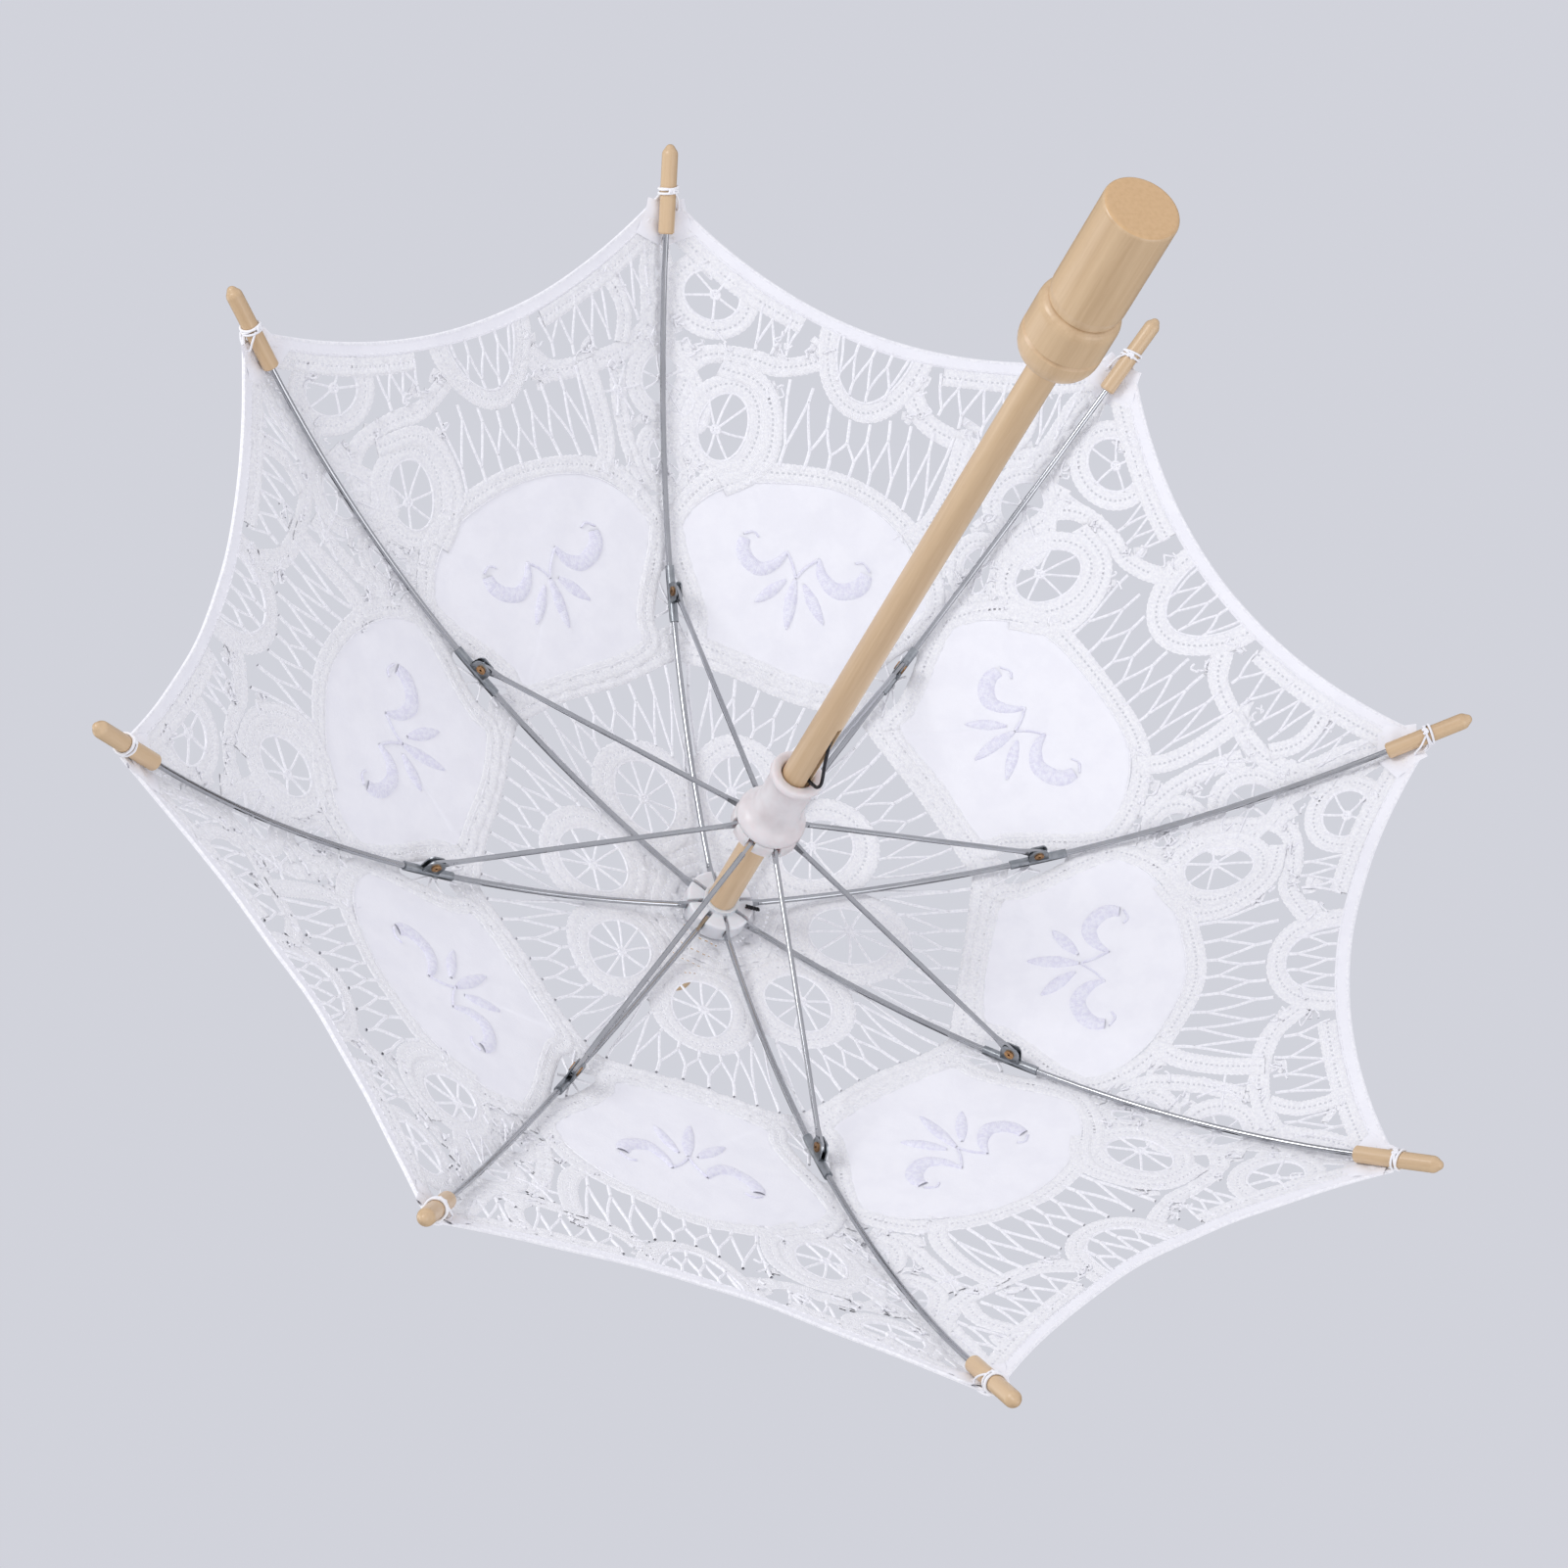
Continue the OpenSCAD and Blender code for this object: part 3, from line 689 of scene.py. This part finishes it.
def cloth_material(name, light, shade, pitch, depth, rough=0.85, sheen=0.12, directions=("X", "Y"),
                   fleck_scale=90.0):
    """White cotton: weave waves of a pitch in cloth millimetres and a faint uneven tint."""
    m, nodes, links, bsdf = new_material(name)
    uv = nodes.new("ShaderNodeUVMap")
    size = node(nodes, "ShaderNodeMapping", vector_type="POINT")
    size.inputs["Scale"].default_value = (100, 100, 100)
    links.new(uv.outputs["UV"], size.inputs["Vector"])
    waves = []
    for direction in directions:
        w = node(nodes, "ShaderNodeTexWave", bands_direction=direction, Scale=math.pi / (10 * pitch),
                 Distortion=0.8, Detail=1.0)
        links.new(size.outputs["Vector"], w.inputs["Vector"])
        waves.append(w.outputs["Fac"])
    both = node(nodes, "ShaderNodeMath", operation="MULTIPLY")
    links.new(waves[0], both.inputs[0])
    links.new(waves[-1], both.inputs[1])
    place = nodes.new("ShaderNodeTexCoord")
    fleck = node(nodes, "ShaderNodeTexNoise", Scale=fleck_scale, Detail=3.0, Roughness=0.6)
    links.new(place.outputs["Object"], fleck.inputs["Vector"])
    tint = ramp(nodes, links, fleck.outputs["Fac"], [(0.40, shade), (0.58, light)])
    links.new(tint, bsdf.inputs["Base Color"])
    pucker = node(nodes, "ShaderNodeTexNoise", Scale=0.8, Detail=3.0, Roughness=0.6)
    links.new(size.outputs["Vector"], pucker.inputs["Vector"])
    relief = node(nodes, "ShaderNodeMath", operation="MULTIPLY_ADD")
    relief.inputs[1].default_value = 0.45
    links.new(both.outputs[0], relief.inputs[0])
    links.new(pucker.outputs["Fac"], relief.inputs[2])
    bump(nodes, links, relief.outputs[0], bsdf, depth, 0.6)
    bsdf.inputs["Roughness"].default_value = rough
    bsdf.inputs["Sheen Weight"].default_value = sheen
    bsdf.inputs["Specular IOR Level"].default_value = 0.25
    return m


def wood_material(name, axis, dark=(0.56, 0.385, 0.22), light=(0.68, 0.495, 0.305)):
    """Satin lacquered light wood with fine grain along the axis."""
    m, nodes, links, bsdf = new_material(name)
    place = nodes.new("ShaderNodeTexCoord")
    turn = node(nodes, "ShaderNodeMapping", vector_type="POINT")
    turn.inputs["Rotation"].default_value = Vector(axis).rotation_difference(Vector((0, 0, 1))).to_euler()
    links.new(place.outputs["Object"], turn.inputs["Vector"])
    long = node(nodes, "ShaderNodeMapping", vector_type="POINT")
    long.inputs["Scale"].default_value = (1, 1, 0.035)
    links.new(turn.outputs["Vector"], long.inputs["Vector"])
    grain = node(nodes, "ShaderNodeTexNoise", Scale=900.0, Detail=5.0, Roughness=0.62, Distortion=0.4)
    links.new(long.outputs["Vector"], grain.inputs["Vector"])
    broad = node(nodes, "ShaderNodeTexNoise", Scale=170.0, Detail=2.0)
    links.new(long.outputs["Vector"], broad.inputs["Vector"])
    mix = node(nodes, "ShaderNodeMath", operation="MULTIPLY_ADD")
    mix.inputs[1].default_value = 0.6
    links.new(broad.outputs["Fac"], mix.inputs[0])
    half = node(nodes, "ShaderNodeMath", operation="MULTIPLY")
    half.inputs[1].default_value = 0.4
    links.new(grain.outputs["Fac"], half.inputs[0])
    links.new(half.outputs[0], mix.inputs[2])
    middle = tuple(a * 0.45 + b * 0.55 for a, b in zip(dark, light))
    links.new(ramp(nodes, links, mix.outputs[0], [(0.34, dark), (0.5, middle), (0.66, light)]),
              bsdf.inputs["Base Color"])
    bump(nodes, links, grain.outputs["Fac"], bsdf, 0.00004, 0.4)
    bsdf.inputs["Roughness"].default_value = 0.42
    bsdf.inputs["Coat Weight"].default_value = 0.35
    bsdf.inputs["Coat Roughness"].default_value = 0.22
    return m


def end_grain():
    """Gives the handle's flat sawn end a warmer tone and its edge a few darker fibres."""
    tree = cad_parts["handle"].data.materials[0].node_tree
    nodes, links = tree.nodes, tree.links
    shader = nodes["Principled BSDF"]
    side_tone = shader.inputs["Base Color"].links[0].from_socket
    place = nodes.new("ShaderNodeTexCoord")
    split = nodes.new("ShaderNodeSeparateXYZ")
    links.new(place.outputs["Object"], split.inputs["Vector"])
    low = node(nodes, "ShaderNodeMath", operation="LESS_THAN")
    low.inputs[1].default_value = END_TONE_DEPTH
    links.new(split.outputs["Z"], low.inputs[0])
    fibres = node(nodes, "ShaderNodeTexNoise", Scale=700.0, Detail=3.0)
    links.new(place.outputs["Object"], fibres.inputs["Vector"])
    sawn = ramp(nodes, links, fibres.outputs["Fac"], [(0.3, (0.63, 0.405, 0.20)), (0.6, (0.68, 0.445, 0.23))])
    mix = node(nodes, "ShaderNodeMix", data_type="RGBA")
    links.new(low.outputs[0], mix.inputs["Factor"])
    links.new(side_tone, mix.inputs[6])
    links.new(sawn, mix.inputs[7])
    links.new(mix.outputs[2], shader.inputs["Base Color"])


def steel_material(name, light, dark, rough, scale=500.0):
    """Plated steel with faint drawn streaks and stains."""
    m, nodes, links, bsdf = new_material(name)
    place = nodes.new("ShaderNodeTexCoord")
    spots = node(nodes, "ShaderNodeTexNoise", Scale=scale, Detail=4.0, Roughness=0.6)
    links.new(place.outputs["Object"], spots.inputs["Vector"])
    links.new(ramp(nodes, links, spots.outputs["Fac"], [(0.36, dark), (0.6, light)]),
              bsdf.inputs["Base Color"])
    bump(nodes, links, spots.outputs["Fac"], bsdf, 0.000012, 0.12)
    bsdf.inputs["Metallic"].default_value = 1.0
    bsdf.inputs["Roughness"].default_value = rough
    return m


def plastic_material(name, colour, cloud_colour):
    """Milky moulded plastic, a little cloudy."""
    m, nodes, links, bsdf = new_material(name)
    place = nodes.new("ShaderNodeTexCoord")
    cloud = node(nodes, "ShaderNodeTexNoise", Scale=120.0, Detail=3.0)
    links.new(place.outputs["Object"], cloud.inputs["Vector"])
    links.new(ramp(nodes, links, cloud.outputs["Fac"], [(0.3, cloud_colour), (0.65, colour)]),
              bsdf.inputs["Base Color"])
    bump(nodes, links, cloud.outputs["Fac"], bsdf, 0.0001, 0.2)
    bsdf.inputs["Roughness"].default_value = 0.28
    bsdf.inputs["Subsurface Weight"].default_value = 0.6
    bsdf.inputs["Subsurface Radius"].default_value = (0.004, 0.003, 0.003)
    bsdf.inputs["Subsurface Scale"].default_value = 1.0
    return m


def paint_node(name, material):
    """Gives a CAD node one material."""
    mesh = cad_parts[name].data
    mesh.materials.clear()
    mesh.materials.append(material)


lace_finishes = [
    cloth_material("lace_tape", (0.95, 0.95, 0.965), (0.87, 0.87, 0.905), 0.55, 0.00045, fleck_scale=1100.0),
    cloth_material("lace_thread", (0.93, 0.93, 0.955), (0.84, 0.84, 0.88), 0.9, 0.00015, directions=("X",),
                   fleck_scale=900.0),
    cloth_material("lace_cotton", (0.91, 0.91, 0.95), (0.885, 0.885, 0.93), 0.4, 0.00012, 0.9, 0.08),
    cloth_material("lace_satin", (0.86, 0.86, 0.94), (0.78, 0.77, 0.89), 0.75, 0.0003, 0.5, 0.3, ("X",),
                   fleck_scale=700.0),
]
upright = (0, 0, 1)
for name in ("stick", "handle", "ferrule"):
    paint_node(name, wood_material(name + "_wood", upright))
end_grain()
plated = steel_material("rib_steel", (0.50, 0.51, 0.53), (0.44, 0.45, 0.47), 0.13, 60.0)
thin = steel_material("stretcher_steel", (0.50, 0.51, 0.53), (0.44, 0.45, 0.47), 0.13, 60.0)
folded = steel_material("clip_steel", (0.38, 0.40, 0.42), (0.28, 0.30, 0.32), 0.3, 350.0)
copper = steel_material("rivet_brass", (0.62, 0.36, 0.17), (0.36, 0.19, 0.09), 0.25, 700.0)
zinc = steel_material("ring_wire", (0.48, 0.47, 0.45), (0.28, 0.26, 0.24), 0.45)
notch_plastic = plastic_material("notch_plastic", (0.80, 0.80, 0.83), (0.72, 0.71, 0.73))
paint_node("top_notch", notch_plastic)
paint_node("top_notch_ring", zinc)
paint_node("runner_ring", zinc)
for i in RIBS:
    n = i + 1
    out = Vector((math.cos(i * STEP), math.sin(i * STEP), 0)) * math.cos(slope(RIB_LEN))
    along_tip = out - Vector(upright) * math.sin(slope(RIB_LEN))
    paint_node(f"rib_tip_{n}", wood_material(f"tip_wood_{n}", along_tip))
    paint_node(f"rib_{n}", plated)
    paint_node(f"stretcher_{n}", thin)
    paint_node(f"joint_clip_{n}", folded)
    paint_node(f"joint_rivet_{n}", copper)


# ---------------------------------------------------------------- canopy

gores = [gore_cloth() for k in range(GORES)]


def canopy(i):
    """The cloth over rib i: the left half of its own gore and the right half of the gore before."""
    points = []
    uvs = []
    faces = []
    finishes = []
    count = 0
    for k, side, shift in ((i, -1, 0.0), ((i - 1) % GORES, 1, SEAM_STEP)):
        flat, uv, quads, finish = gores[k]
        part = flat[quads].mean(1)[:, 0] * side > 0
        points.append(on_canopy(k, flat[:, 0], flat[:, 1], flat[:, 2] + shift))
        uvs.append(uv)
        faces.append(quads[part] + count)
        finishes.append(finish[part])
        count += len(flat)
    both = np.vstack(faces)
    used, packed = np.unique(both, return_inverse=True)
    piece = make_mesh(f"canopy_lace_{i + 1}", np.vstack(points)[used], packed.reshape(both.shape),
                      np.vstack(uvs)[used], np.concatenate(finishes))
    for m in lace_finishes:
        piece.data.materials.append(m)
    return piece


for i in RIBS:
    piece = canopy(i)
    body = f"rib_arm_{i + 1}"
    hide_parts(f"canopy_{i + 1}")
    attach(piece, body)
    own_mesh(piece)


# ---------------------------------------------------------------- ties, spring, wire end

tie_cotton = cloth_material("tie_thread", (0.90, 0.90, 0.93), (0.84, 0.84, 0.88), 0.8, 0.0001)


def tip_frame(i):
    """The tie hole in tip i, with unit vectors out along the tip, across it and up from it."""
    a = slope(RIB_LEN)
    radial = Vector((math.cos(i * STEP), math.sin(i * STEP), 0))
    along = radial * math.cos(a) - Vector(upright) * math.sin(a)
    over = radial * math.sin(a) + Vector(upright) * math.cos(a)
    root = radial * bow_x(RIB_LEN) + Vector(upright) * bow_z(RIB_LEN)
    return root + along * TIP_HOLE, along, over.cross(along), over


def tie(i):
    """Two turns of thread round a tip at its hole, a knot and a loose end up to the cloth's corner."""
    hole, along, across, over = tip_frame(i)
    wave = np.random.RandomState(20 + i)
    parts = []
    for off, lean in ((-0.5, 0.16), (0.35, -0.1), (1.1, 0.22)):
        ring = []
        for j in range(28):
            a = j * 2 * math.pi / 28
            out = 3.25 + 0.12 * wave.uniform()
            at = hole + along * (off + lean * out * math.sin(a + i))
            ring.append((at + across * out * math.cos(a) + over * out * math.sin(a)) * MM)
        parts.append(tube(ring, 0.42 * MM, 8, True))
    side = 1 if i % 2 else -1
    loop = [hole + over * 2.2 - along * 1.0, hole + over * 3.9 + across * side * 1.2,
            hole + over * 3.6 + across * side * 3.4 - along * 3.0,
            hole + over * 1.2 + across * side * 4.3 - along * 7.5 * (0.6 + 0.5 * wave.uniform()),
            hole - over * 1.0 + across * side * 3.6 - along * 3.4,
            hole - over * 2.9 + across * side * 1.6 - along * 0.4]
    parts.append(tube(curve_through([tuple(p * MM) for p in loop]), 0.36 * MM, 8))
    through = [hole - over * 3.3, hole, hole + over * 3.8]
    parts.append(tube(curve_through([tuple(p * MM) for p in through]), 0.5 * MM, 8))
    knot = [hole - over * 3.5 + across * 0.9 * math.cos(j) + along * 0.8 * math.sin(j * 1.7)
            for j in range(9)]
    parts.append(tube(curve_through([tuple(p * MM) for p in knot], 4), 0.45 * MM, 8))
    piece = join_tubes(f"tie_thread_{i + 1}", parts, tie_cotton)
    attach(piece, f"rib_arm_{i + 1}")


for i in RIBS:
    tie(i)


RUNNER_RING_Z = 317.0
RUNNER_OUTSIDE = [
    (7.9, -31.0), (8.5, -30.9), (8.9, -30.5), (9.05, -29.8), (9.05, -29.0), (8.85, -28.3), (8.4, -27.8),
    (8.15, -27.0), (8.0, -25.0), (7.95, -20.0), (7.95, -15.0), (8.0, -12.0), (8.25, -10.2), (8.9, -8.8),
    (10.0, -7.6), (11.0, -6.7), (11.6, -5.7), (11.9, -4.6), (11.85, -3.4), (11.4, -2.65)]
RUNNER_INSIDE = [(7.2, -2.6), (7.2, 2.3), (6.8, 2.6), (6.4, 3.8), (5.9, 4.0), (5.4, 3.9), (5.3, 3.4),
                 (5.3, 0.0), (5.3, -10.0), (5.3, -20.0), (5.3, -29.6), (5.6, -30.6), (6.2, -31.0)]


def lathe(outline, from_a, to_a, steps):
    """Points and quads of a closed outline of radius and height, in millimetres, turned about the stick."""
    full = to_a - from_a > 6.28
    angles = from_a + (to_a - from_a) * np.arange(steps if full else steps + 1) / steps
    r = np.array([p[0] for p in outline])
    z = np.array([p[1] for p in outline]) + RUNNER_RING_Z
    points = np.stack([np.outer(np.cos(angles), r), np.outer(np.sin(angles), r),
                       np.broadcast_to(z, (len(angles), len(z)))], -1).reshape(-1, 3) * MM
    n = len(outline)
    faces = strip_faces(len(angles), n)
    if full:
        last = (steps - 1) * n
        seam = [(last + j, last + (j + 1) % n, (j + 1) % n, j) for j in range(n)]
        return points, np.vstack([faces, seam])
    caps = []
    for start in (0, steps * n):
        for j in range(1, n - 2, 2):
            caps.append((start, start + j, start + j + 1, start + (j + 2) % n))
    return points, np.vstack([faces, caps])


def runner():
    """The milky sleeve with its rim and bell, and the flange's eight blocks between the stretchers."""
    parts = [lathe(RUNNER_OUTSIDE + RUNNER_INSIDE, 0, 2 * math.pi, 96)]
    block = [(7.0, -2.7), (11.3, -2.7), (11.8, -2.3), (12.0, -1.8), (12.0, 1.9), (11.7, 2.4), (11.2, 2.6),
             (7.0, 2.6)]
    spare = math.asin(1.25 / 11)
    for i in RIBS:
        parts.append(lathe(block, i * STEP + spare, (i + 1) * STEP - spare, 10))
    m = plastic_material("runner_plastic", (0.77, 0.735, 0.74), (0.68, 0.625, 0.625))
    piece = join_tubes("runner_sleeve", parts, m)
    piece.data.set_sharp_from_angle(angle=math.radians(45))
    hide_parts("runner")
    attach(piece, "runner")


runner()


def catch_spring():
    """The bent spring wire below the runner, as one smooth line."""
    m, nodes, links, bsdf = new_material("spring_black")
    place = nodes.new("ShaderNodeTexCoord")
    spots = node(nodes, "ShaderNodeTexNoise", Scale=900.0, Detail=3.0)
    links.new(place.outputs["Object"], spots.inputs["Vector"])
    tones = [(0.3, (0.012, 0.012, 0.015)), (0.75, (0.05, 0.05, 0.055))]
    links.new(ramp(nodes, links, spots.outputs["Fac"], tones), bsdf.inputs["Base Color"])
    bsdf.inputs["Metallic"].default_value = 0.6
    bsdf.inputs["Roughness"].default_value = 0.28
    az = math.radians(202.5)
    line = [(0.5, 256.0), (3.0, 259.0), (4.6, 264.0), (6.6, 271.0), (8.9, 277.5), (9.35, 280.3),
            (8.6, 282.4), (7.0, 283.2), (5.2, 283.7), (3.0, 284.2)]
    path = curve_through([(r * MM * math.cos(az), r * MM * math.sin(az), z * MM) for r, z in line], 6)
    piece = join_tubes("catch_spring_wire", [tube(path, 0.6 * MM, 12)], m)
    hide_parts("catch_spring")
    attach(piece, "catch")
    return m


spring_black = catch_spring()


def ring_end():
    """The twisted end of the wire ring, which stands out below the top notch between two ribs."""
    az = math.radians(157.5)
    out = Vector((math.cos(az), math.sin(az), 0))
    side = Vector((-math.sin(az), math.cos(az), 0))
    parts = []
    for phase in (0, math.pi):
        path = []
        for j in range(30):
            t = j / 29
            a = phase + t * 5 * math.pi
            at = out * (8.8 + 4.6 * t) + Vector(upright) * (CROWN_Z - 3.9 - 0.4 * t)
            path.append((at + side * 0.42 * math.cos(a) + Vector(upright) * 0.42 * math.sin(a)) * MM)
        parts.append(tube(path, 0.36 * MM, 8))
    piece = join_tubes("ring_wire_end", parts, spring_black)
    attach(piece, "shaft")


ring_end()


# ---------------------------------------------------------------- stage, lights, camera

def stage_floor():
    """A plain pale floor, far below the parasol that is held up in the hand."""
    m, _, _, bsdf = new_material("floor_pale")
    bsdf.inputs["Base Color"].default_value = (0.80, 0.80, 0.83, 1)
    bsdf.inputs["Roughness"].default_value = 0.9
    mesh = bpy.data.meshes.new("floor")
    mesh.from_pydata([(-8, -8, -1.5), (8, -8, -1.5), (8, 8, -1.5), (-8, 8, -1.5)], [], [(0, 1, 2, 3)])
    floor = bpy.data.objects.new("floor", mesh)
    bpy.context.scene.collection.objects.link(floor)
    floor.data.materials.append(m)


def camera_frame():
    """The view from below: right, up and back vectors, and the point looked at."""
    el = math.radians(-50.84)
    az = math.radians(-5.99)
    roll = math.radians(211.35)
    back = Vector((math.sin(az) * math.cos(el), -math.cos(az) * math.cos(el), math.sin(el)))
    level = (-back).cross(Vector(upright)).normalized()
    rise = level.cross(-back)
    right = level * math.cos(roll) + rise * math.sin(roll)
    up = rise * math.cos(roll) - level * math.sin(roll)
    return right, up, back, Vector((0, 0, 0.3044))


def make_camera():
    right, up, back, target = camera_frame()
    data = bpy.data.cameras.new("camera")
    data.sensor_width = 36.0
    data.lens = 101.34
    data.shift_x = 0.0028
    data.shift_y = 0.0124
    data.clip_end = 50
    camera = bpy.data.objects.new("camera", data)
    at = target + back * 1.452
    turn = Matrix((right, up, back)).transposed().to_4x4()
    camera.matrix_world = Matrix.Translation(at) @ turn
    bpy.context.scene.collection.objects.link(camera)
    bpy.context.scene.camera = camera


def area_light(name, at, target, size, power, colour=(1, 1, 1)):
    data = bpy.data.lights.new(name, "AREA")
    data.size = size
    data.energy = power
    data.color = colour
    light = bpy.data.objects.new(name, data)
    bpy.context.scene.collection.objects.link(light)
    light.location = at
    light.rotation_euler = (target - at).to_track_quat("-Z", "Y").to_euler()


# The world's colour as it lights the cloth, as it is seen, and as the metal mirrors it.
SKY_LIGHT = (0.84, 0.84, 0.87, 1)
SKY_SEEN = (0.64, 0.65, 0.71, 1)
SKY_IN_METAL = (0.10, 0.10, 0.11, 1)


def make_lights():
    right, up, back, target = camera_frame()
    area_light("key", target + back * 0.95 - right * 0.95 + up * 0.85, target, 0.6, 9.0)
    area_light("fill", target + back * 1.0 + right * 1.15 - up * 0.5, target, 1.0, 5, (0.97, 0.98, 1))
    area_light("top", Vector((1.1, -0.5, 1.2)), target, 0.9, 3.2)
    world = bpy.data.worlds.new("studio")
    world.use_nodes = True
    nodes, links = world.node_tree.nodes, world.node_tree.links
    rays = nodes.new("ShaderNodeLightPath")
    nodes["Background"].inputs["Color"].default_value = SKY_LIGHT
    seen = nodes["Background"].outputs[0]
    for ray, colour in (("Is Camera Ray", SKY_SEEN), ("Is Glossy Ray", SKY_IN_METAL)):
        sky = nodes.new("ShaderNodeBackground")
        sky.inputs["Color"].default_value = colour
        mix = nodes.new("ShaderNodeMixShader")
        links.new(rays.outputs[ray], mix.inputs["Fac"])
        links.new(seen, mix.inputs[1])
        links.new(sky.outputs[0], mix.inputs[2])
        seen = mix.outputs[0]
    links.new(seen, nodes["World Output"].inputs["Surface"])
    bpy.context.scene.world = world
    bpy.context.scene.view_settings.view_transform = "Standard"


stage_floor()
make_camera()
make_lights()
